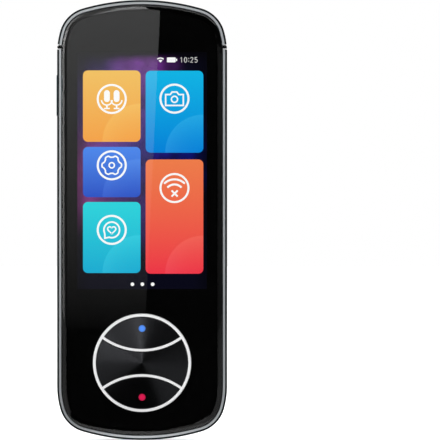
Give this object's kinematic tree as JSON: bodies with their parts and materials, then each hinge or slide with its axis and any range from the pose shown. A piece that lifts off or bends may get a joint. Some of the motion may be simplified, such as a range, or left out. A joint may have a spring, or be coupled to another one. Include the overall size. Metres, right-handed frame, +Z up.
{
  "type": "handheld translator",
  "caption": "Slim handheld translator with round ends, curved-edge glass over a colour screen, a round key pad with curved bars, a side button and a metal case with a camera surround.",
  "frame": {"origin": "middle of the lower end, half-way through the thickness, with the part standing on its lower end", "axes": "+X to the right seen from the screen side, +Y from the screen to the back, +Z up the length to the camera end"},
  "size_m": [0.0502, 0.0128, 0.1294],
  "materials": {
    "case_metal": "bead blasted and anodised blue-grey",
    "black_plastic": "moulded black",
    "bright_metal": "polished",
    "cover_glass": "polished, black behind",
    "window_glass": "polished",
    "lens_metal": "turned",
    "lens_glass": "coated dark red",
    "flash_plastic": "clear over a pale lamp",
    "key_metal": "spun in fine circles, dark anodised",
    "blue_plastic": "clear blue",
    "red_plastic": "clear red",
    "steel": "bare sheet and screws",
    "frame_metal": "die cast",
    "panel": "laminated",
    "backlight": "white moulding with films",
    "ribbon": "thin film",
    "rubber": "soft",
    "lamp": "pale yellow",
    "board": "green laminate",
    "pale_plastic": "moulded",
    "cell_foil": "foil pouch",
    "lead": "sleeved",
    "camera_body": "moulded",
    "gold_plate": "plated"
  },
  "bodies": {
    "case": {"rear_cover": "case_metal", "top_cap": "case_metal", "antenna_strip": "black_plastic", "camera_ring": "bright_metal", "camera_window": "window_glass", "lens_mount": "lens_metal", "camera_lens": "lens_glass", "flash_lens": "flash_plastic", "front_glass": "cover_glass", "glass_adhesive": "rubber", "key_ring": "bright_metal", "button_bracket": "steel", "side_switch": "black_plastic", "usb_port": "steel", "usb_tongue": "black_plastic", "speaker_mesh": "steel", "speaker_gasket": "rubber", "speaker": "black_plastic", "inner_frame": "frame_metal", "display_panel": "panel", "display_backlight": "backlight", "display_ribbon": "ribbon", "rubber_sheet": "rubber", "snap_domes": "steel", "key_lamps": "lamp", "key_board": "board", "key_ribbon": "ribbon", "main_board": "board", "processor_shield": "steel", "radio_shield": "steel", "lower_board": "board", "link_ribbon": "ribbon", "ribbon_sockets": "pale_plastic", "battery": "cell_foil", "battery_tape": "rubber", "battery_lead": "lead", "camera_module": "camera_body", "flash_lamp": "lamp", "rear_microphone": "gold_plate", "rear_mic_boot": "rubber", "lower_microphone": "gold_plate", "lower_mic_boot": "rubber", "antenna_carrier": "pale_plastic", "wifi_antenna": "gold_plate", "frame_screws": "steel", "board_screws": "steel"},
    "upper_key": {"upper_key": "key_metal", "blue_light_guide": "blue_plastic"},
    "middle_key": {"middle_key": "key_metal"},
    "lower_key": {"lower_key": "key_metal", "red_light_guide": "red_plastic"},
    "side_button": {"side_button": "case_metal"}
  },
  "joints": [
    {"name": "upper_key_press", "type": "slide", "parent": "case", "child": "upper_key", "axis": [0, 1, 0], "range_m": [0, 0.00035], "stiffness_N_per_m": 800},
    {"name": "middle_key_press", "type": "slide", "parent": "case", "child": "middle_key", "axis": [0, 1, 0], "range_m": [0, 0.00035], "stiffness_N_per_m": 800},
    {"name": "lower_key_press", "type": "slide", "parent": "case", "child": "lower_key", "axis": [0, 1, 0], "range_m": [0, 0.00035], "stiffness_N_per_m": 800},
    {"name": "side_button_press", "type": "slide", "parent": "case", "child": "side_button", "axis": [1, 0, 0], "range_m": [0, 0.00035], "stiffness_N_per_m": 800}
  ]
}
